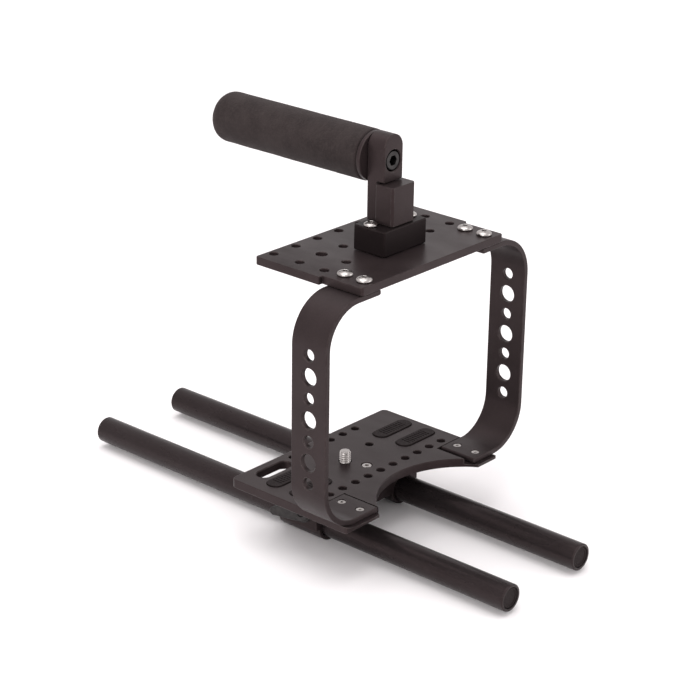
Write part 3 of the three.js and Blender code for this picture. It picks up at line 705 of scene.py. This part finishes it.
def add_clamp():
    low, high = box_mm("rod_clamp")
    rod = centre_mm("rod_right")
    block = prism(clamp_outline(low, high, rod.x, rod.z), 0, high.y - low.y, 0.4)
    block = shifted(along_y(block), 0, high.y, 0)
    bottom = rod.z - 1
    stud = centre_mm("camera_screw")
    cutters = [through_cutter(circle(stud.x, stud.y, 6.2), bottom, high.z, 0.4)]
    for side in (-1, 1):
        hole = prism(circle(LEVER_Y, LEVER_Z, 2.2, 24), 19, high.x + 1)
        cutters.append(moved(along_x(hole), Matrix.Scale(side, 4, (1, 0, 0))))
    shanks = []
    for number in (1, 2):
        under = centre_mm(f"clamp_screw_under_{number}")
        cutters.append(prism(circle(under.x, under.y, 3.8, 32), bottom - 1, bottom + 8.3))
        shanks.append(prism(circle(under.x, under.y, 2.3, 24), bottom + 4, high.z + 1))
    for tool in cutters + shanks:
        normals_out(tool)
    block = carve(block, cutters, shanks)
    place("rod_clamp_look", block, PLATE, "cage", "anodised_black", "rod_clamp")


def normals_out(mesh):
    builder = bmesh.new()
    builder.from_mesh(mesh)
    bmesh.ops.recalc_face_normals(builder, faces=builder.faces)
    builder.to_mesh(mesh)
    builder.free()


LEVER_Y = -21
LEVER_Z = 19.9
LEVER_INNER_FACE = 42.3  # half the width of the clamp block and a gap
LEVER_SLOPE = 18
LEVER_LENGTH = 22
HUB_RADIUS = 6.3
TIP_RADIUS = 2.4


def add_levers():
    """A cast lever: a round hub with a raised boss and a socket screw, and an arm that thins to its tip."""
    for word, side in (("left", -1), ("right", 1)):
        node = f"clamp_lever_{word}"
        low, high = box_mm(node)
        inner = LEVER_INNER_FACE
        outer = high.x if side > 0 else -low.x
        lean = math.degrees(math.atan2(HUB_RADIUS - TIP_RADIUS, LEVER_LENGTH))
        outline = arc(0, 0, HUB_RADIUS, 90 - lean, 270 + lean, 32)
        outline += arc(LEVER_LENGTH, 0, TIP_RADIUS, -90 + lean, 90 - lean, 12)
        arm = prism(outline, inner, outer - 0.8, 0.9, 4)
        boss = prism(circle(0, 0, HUB_RADIUS - 1.2, 40), inner + 1, outer, 0.4)
        lever = combined(arm, [boss], "UNION")
        lever = combined(lever, [prism(circle(0, 0, 2, 32), 20, inner + 2)], "UNION")
        lever = carve(lever, [blind_cutter(circle(0, 0, 2.6, 36), outer - 1.2, outer, 0.2)])
        head = prism(circle(0, 0, 2.4, 36), outer - 1.1, outer - 0.3, 0.2)
        head = carve(head, [socket_cutter(2.5, outer - 0.9, outer - 0.3)])
        lever = along_x(lever)
        head = along_x(head)
        for part, name in ((lever, ""), (head, "_screw")):
            part = moved(part, Matrix.Rotation(math.radians(-LEVER_SLOPE), 4, "X"))
            part = moved(part, Matrix.Scale(side, 4, (1, 0, 0)))
            part = shifted(part, 0, LEVER_Y, LEVER_Z)
            place(node + name + "_look", part, BLACK_STEEL, f"lever_{word}_body", "black_steel", node)


# ---- Side straps --------------------------------------------------------------------------
STRAP_THICKNESS = 3
STRAP_BEND = 24
STRAP_HOLES = 7
STRAP_HOLE_PITCH = 11.72
STRAP_LOWER_END = 40
STRAP_UPPER_END = 41
SMALL_HOLE = 3.18
LARGE_HOLE = 4.76


def strap_outline(outer_x, low_z, high_z, grow=0.0, end=1.0):
    """The strap seen end on, for the right-hand side, larger all round by an amount."""
    bend_x = outer_x - STRAP_BEND
    low_bend, high_bend = low_z + STRAP_BEND, high_z - STRAP_BEND
    outer, inner = STRAP_BEND + grow, STRAP_BEND - STRAP_THICKNESS - grow
    low_z, high_z, thickness = low_z - grow, high_z + grow, STRAP_THICKNESS + 2 * grow
    low_end, high_end = STRAP_LOWER_END - grow + end, STRAP_UPPER_END - grow + end
    points = arc(low_end, low_z + end, end, 180, 270, 3)
    points += arc(bend_x, low_bend, outer, -90, 0, 28)
    points += arc(bend_x, high_bend, outer, 0, 90, 28)
    points += arc(high_end, high_z - end, end, 90, 180, 3)
    points += arc(high_end, high_z - thickness + end, end, 180, 270, 3)
    points += arc(bend_x, high_bend, inner, 90, 0, 28)
    points += arc(bend_x, low_bend, inner, 0, -90, 28)
    points += arc(low_end, low_z + thickness - end, end, 90, 180, 3)
    return points


def countersink_cutter(x, y, top):
    """The cone for a flat head, and the hole below it."""
    bore, mouth = FLANGE_SHANK + 0.3, FLANGE_HEAD + 0.3
    profile = [(0, top - 5), (bore, top - 5), (bore, top - 0.5 - mouth + bore), (mouth, top - 0.5)]
    profile += [(mouth + 0.1, top + 1), (0, top + 1)]
    return shifted(lathe(profile, 32), x, y, 0)


def add_straps():
    for word, side in (("left", -1), ("right", 1)):
        node = f"side_strap_{word}"
        low, high = box_mm(node)
        outer = max(abs(low.x), abs(high.x))
        middle = (low + high) / 2
        strap = prism(strap_outline(outer, low.z, high.z), 0, high.y - low.y, 0.5)
        strap = shifted(along_y(strap), 0, high.y, 0)
        cutters = []
        for i in range(STRAP_HOLES):
            radius = LARGE_HOLE if i % 2 else SMALL_HOLE
            z = middle.z + (i - (STRAP_HOLES - 1) / 2) * STRAP_HOLE_PITCH
            hole = through_cutter(circle(middle.y, z, radius, 48), outer - STRAP_THICKNESS, outer, 0.4)
            cutters.append(along_x(hole))
        for y in FLANGE_SCREWS_Y:
            cutters.append(countersink_cutter(FLANGE_SCREW_X, y, low.z + STRAP_THICKNESS))
            bored = circle(FLANGE_SCREW_X, y, 2.3, 32)
            cutters.append(through_cutter(bored, high.z - STRAP_THICKNESS, high.z, 0.2))
        for tool in cutters:
            normals_out(tool)
        strap = carve(strap, cutters)
        strap = moved(strap, Matrix.Scale(side, 4, (1, 0, 0)))
        place(node + "_look", strap, STRAP, "cage", "anodised_black", node)


# ---- Top plate ----------------------------------------------------------------------------
TOP_PITCH = 16.6
TOP_ROWS_Y = (-39, -22, -4)
TOP_HOLE = 2.5
TOP_NECK = 56.5
TOP_NECK_BACK = -43.5


def top_outline(low, high):
    """Wide at the back and a little narrower between the straps."""
    radius = 1.5
    points = arc(-TOP_NECK + radius, low.y + radius, radius, 180, 270, 4)
    points += arc(TOP_NECK - radius, low.y + radius, radius, 270, 360, 4)
    points += [(TOP_NECK, TOP_NECK_BACK)]
    points += arc(high.x - 0.8, TOP_NECK_BACK + 0.8, 0.8, 270, 360, 3)
    points += arc(high.x - radius, high.y - radius, radius, 0, 90, 4)
    points += arc(low.x + radius, high.y - radius, radius, 90, 180, 4)
    points += arc(low.x + 0.8, TOP_NECK_BACK + 0.8, 0.8, 180, 270, 3)
    points += [(-TOP_NECK, TOP_NECK_BACK)]
    return points


def add_top_plate():
    low, high = box_mm("top_plate")
    block_high = box_mm("handle_block")[1]
    plate = prism(top_outline(low, high), low.z, high.z, 0.45)
    cutters = []
    for row, y in enumerate(TOP_ROWS_Y):
        for k in range(-3, 4):
            x = k * TOP_PITCH
            if y < block_high.y + 4 and abs(x) < block_high.x + 3:
                continue
            radius = SMALL_HOLE if row == 1 and abs(k) == 2 else TOP_HOLE
            cutters.append(through_cutter(circle(x, y, radius), low.z, high.z))
    for side in ("left", "right"):
        for node in (f"top_screw_{side}_front", f"top_screw_{side}_back"):
            spot = centre_mm(node)
            cutters.append(prism(circle(spot.x, spot.y, 2.3, 24), low.z - 1, high.z + 1))
        spot = centre_mm(f"handle_screw_{side}")
        cutters.append(prism(circle(spot.x, spot.y, 2.8, 24), low.z - 1, high.z + 1))
    place("top_plate_look", carve(plate, cutters), PLATE, "cage", "anodised_black", "top_plate")


# ---- Handle -------------------------------------------------------------------------------
def hidden_screws():
    """Each screw inside the handle: its CAD node, its own radius and its head's radius."""
    return (("riser_screw", 2.5, 4.2), ("arm_screw", 1.5, 2.8))


def add_handle_block():
    low, high = box_mm("handle_block")
    block = prism(rounded_box(low.x, low.y, high.x, high.y, 1.2), low.z, high.z, 0.7, 4)
    seats, holes = [], []
    for side in ("left", "right"):
        spot = centre_mm(f"handle_screw_{side}")
        seats.append(through_cutter(circle(spot.x, spot.y, 2.8, 32), low.z, high.z, 0.2))
    for node, radius, head in hidden_screws():
        spot = centre_mm(node)
        seats.append(prism(circle(spot.x, spot.y, head + 0.3, 32), low.z - 1, low.z + 5.6))
        holes.append(prism(circle(spot.x, spot.y, radius + 0.3, 32), low.z + 3, high.z + 1))
    place("handle_block_look", carve(block, seats, holes), BLOCK, "cage", "anodised_black", "handle_block")


def add_riser():
    """The block in front of the arm, its two front corners chamfered."""
    low, high = box_mm("handle_riser")
    chamfer, back_radius = 1.2, 0.9
    outline = [(low.x, low.y + chamfer), (low.x + chamfer, low.y)]
    outline += [(high.x - chamfer, low.y), (high.x, low.y + chamfer)]
    outline += arc(high.x - back_radius, high.y - back_radius, back_radius, 0, 90, 3)
    outline += arc(low.x + back_radius, high.y - back_radius, back_radius, 90, 180, 3)
    node, radius, _ = hidden_screws()[0]
    screw_high = box_mm(node)[1]
    spot = centre_mm(node)
    hole = prism(circle(spot.x, spot.y, radius + GAP, 32), low.z - 1, screw_high.z + GAP)
    riser = carve(prism(outline, low.z, high.z, 0.4), [hole])
    place("handle_riser_look", riser, PLATE, "cage", "anodised_black", "handle_riser")


def add_arm():
    """A round-topped head on a foot that runs down behind the riser to the block."""
    low, high = box_mm("handle_arm")
    riser_high = box_mm("handle_riser")[1]
    bolt_low, bolt_high = box_mm("grip_bolt")
    axis_z = (bolt_low.z + bolt_high.z) / 2
    radius, corner, edge = high.x, 0.9, 0.6
    head_low = riser_high.z + 0.3
    outline = arc(low.x + corner, head_low + corner, corner, 180, 270, 3)
    outline += arc(high.x - corner, head_low + corner, corner, 270, 360, 3)
    outline += arc(0, high.z - radius, radius, 0, 180, 36)
    depth = high.y - low.y
    head = shifted(along_y(prism(outline, 0, depth, edge, 4)), 0, high.y, 0)
    foot = prism(rounded_box(low.x, riser_high.y + 0.3, high.x, high.y, corner), low.z, head_low + 4, edge)
    seat = 6.5
    counterbore = blind_cutter(circle(0, axis_z, 5.8, 48), depth - seat, depth, 0.4)
    counterbore = shifted(along_y(counterbore), 0, high.y, 0)
    hole = shifted(along_y(prism(circle(0, axis_z, 3.3, 32), -1, depth - 2)), 0, high.y, 0)
    node, screw_radius, _ = hidden_screws()[1]
    spot = centre_mm(node)
    tapped = prism(circle(spot.x, spot.y, screw_radius + GAP, 24), low.z - 1, box_mm(node)[1].z + GAP)
    for tool in (counterbore, hole, tapped):
        normals_out(tool)
    arm = carve(combined(head, [foot], "UNION"), [counterbore, tapped], [hole])
    place("handle_arm_look", arm, PLATE, "cage", "anodised_black", "handle_arm")


def add_bolt():
    low, high = box_mm("grip_bolt")
    head_height = 6
    radius = (high.x - low.x) / 2
    bolt = cap_head(radius, head_height, 3, high.y - low.y - head_height, 5)
    bolt = shifted(along_y(bolt), 0, low.y + head_height, (low.z + high.z) / 2)
    place("grip_bolt_look", bolt, BLACK_STEEL, "grip_bolt_body", "black_steel", "grip_bolt")


def add_grip():
    """A turned collar, then the foam sleeve over its core. The dome leaves the back open near the axis."""
    low, high = box_mm("grip_collar")
    axis_z = (low.z + high.z) / 2
    radius = (high.x - low.x) / 2
    width = high.y - low.y
    rim = [(radius - 0.5 + x, width - 0.5 + z) for x, z in arc(0, 0, 0.5, 0, 90, 4)]
    lower = [(r, width - z) for r, z in reversed(rim)]
    profile = [(3.3, 0)] + lower + rim + [(3.3, width)]
    collar = shifted(along_y(lathe(profile, 72)), 0, high.y, axis_z)
    place("grip_collar_look", collar, PLATE, "grip_body", "anodised_black", "grip_collar")

    low, high = box_mm("grip_foam")
    core_low, core_high = box_mm("grip_core")
    length = high.y - low.y
    outer = (high.x - low.x) / 2 - 0.1
    bore = (core_high.x - core_low.x) / 2 + GAP
    end_length, end_depth, edge = 7.0, 6.5, 1.3
    front = [(outer - edge + x, length - edge + z) for x, z in arc(0, 0, edge, 90, 0, 6)]
    steps = 60
    side = [(outer, length - edge - (length - edge - end_length) * k / steps) for k in range(1, steps)]
    dome = []
    for turn in (math.radians(a) for a in range(0, 91, 6)):
        radius = outer - end_depth + end_depth * math.cos(turn)
        dome.append((radius, end_length - end_length * math.sin(turn)))
    bottom = high.y - core_high.y - GAP
    profile = [(0, bottom), (bore, bottom), (bore, length)] + front + side + dome
    sleeve = lathe(profile, 96)
    for vertex in sleeve.vertices:
        reach = math.hypot(vertex.co.x, vertex.co.y)
        if reach > bore + 2:
            dent = 0.09 * (noise.noise(vertex.co / 9) - 1) + 0.05 * (noise.noise(vertex.co / 2.2) - 1)
            vertex.co.x *= 1 + dent / reach
            vertex.co.y *= 1 + dent / reach
    sleeve = shifted(along_y(sleeve), 0, high.y, axis_z)
    foam = place("grip_foam_look", sleeve, FOAM, "grip_body", "foam_black", "grip_foam")


def finish_hidden_nodes():
    """The core inside the foam and the screws inside the handle keep their CAD shapes."""
    for node in ("grip_core", "riser_screw", "arm_screw"):
        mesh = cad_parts[node]
        for material_slot in mesh.material_slots:
            material_slot.link = "OBJECT"
            material_slot.material = BLACK_STEEL


# ---- Studio -------------------------------------------------------------------------------
CAMERA_PLACE = Vector((-0.808364, -0.719724, 0.540441))
CAMERA_AZIMUTH = -48.848
CAMERA_ELEVATION = 22.433
CAMERA_ROLL = 0.896
CAMERA_LENS = 111.15


def add_camera():
    azimuth, elevation, roll = (math.radians(a) for a in (CAMERA_AZIMUTH, CAMERA_ELEVATION, CAMERA_ROLL))
    back = Vector((
        math.sin(azimuth) * math.cos(elevation),
        -math.cos(azimuth) * math.cos(elevation),
        math.sin(elevation),
    ))
    level = Vector((0, 0, 1)).cross(back).normalized()
    upright = back.cross(level)
    right = level * math.cos(roll) + upright * math.sin(roll)
    up = upright * math.cos(roll) - level * math.sin(roll)
    data = bpy.data.cameras.new("camera")
    data.sensor_width = 36
    data.lens = CAMERA_LENS
    data.clip_start = 0.01
    camera = bpy.data.objects.new("camera", data)
    camera.matrix_world = Matrix.Translation(CAMERA_PLACE) @ Matrix((right, up, back)).transposed().to_4x4()
    bpy.context.scene.collection.objects.link(camera)
    bpy.context.scene.camera = camera


def add_floor():
    size = 6
    mesh = bpy.data.meshes.new("floor")
    corners = [(-size, -size, 0), (size, -size, 0), (size, size, 0), (-size, size, 0)]
    mesh.from_pydata(corners, [], [(0, 1, 2, 3)])
    finish, tree, shader, where = start_material("floor_paper", 0.9)
    fibres = noise_of(tree, where, 30, 3)
    tree.links.new(mixed(tree, fibres, (0.90, 0.875, 0.88), (0.92, 0.895, 0.90)), shader.inputs["Base Color"])
    mesh.materials.append(finish)
    floor = bpy.data.objects.new("floor", mesh)
    bpy.context.scene.collection.objects.link(floor)


def add_light(name, place_at, target, size, power):
    data = bpy.data.lights.new(name, "AREA")
    data.shape = "DISK"
    data.size = size
    data.energy = power
    lamp = bpy.data.objects.new(name, data)
    aim = Vector(target) - Vector(place_at)
    lamp.rotation_mode = "QUATERNION"
    lamp.rotation_quaternion = aim.to_track_quat("-Z", "Y")
    lamp.location = place_at
    bpy.context.scene.collection.objects.link(lamp)


def add_studio():
    add_camera()
    add_floor()
    world = bpy.data.worlds.new("studio")
    world.use_nodes = True
    background = world.node_tree.nodes["Background"]
    background.inputs["Color"].default_value = (1.0, 0.975, 0.98, 1)
    background.inputs["Strength"].default_value = 0.95
    bpy.context.scene.world = world
    bpy.context.scene.view_settings.view_transform = "Standard"
    middle = (0, -0.02, 0.1)
    add_light("overhead", (-0.2, 0.1, 1.6), middle, 1.6, 14)
    add_light("key", (-1.3, -0.5, 0.9), middle, 0.9, 7)
    add_light("fill", (0.9, -1.2, 0.7), middle, 0.9, 4)


add_studio()
add_rods()
add_base_plate()
add_pads()
add_clamp()
add_levers()
add_camera_screw()
add_straps()
add_top_plate()
add_screws()
add_handle_block()
add_riser()
add_arm()
add_bolt()
add_grip()
finish_hidden_nodes()
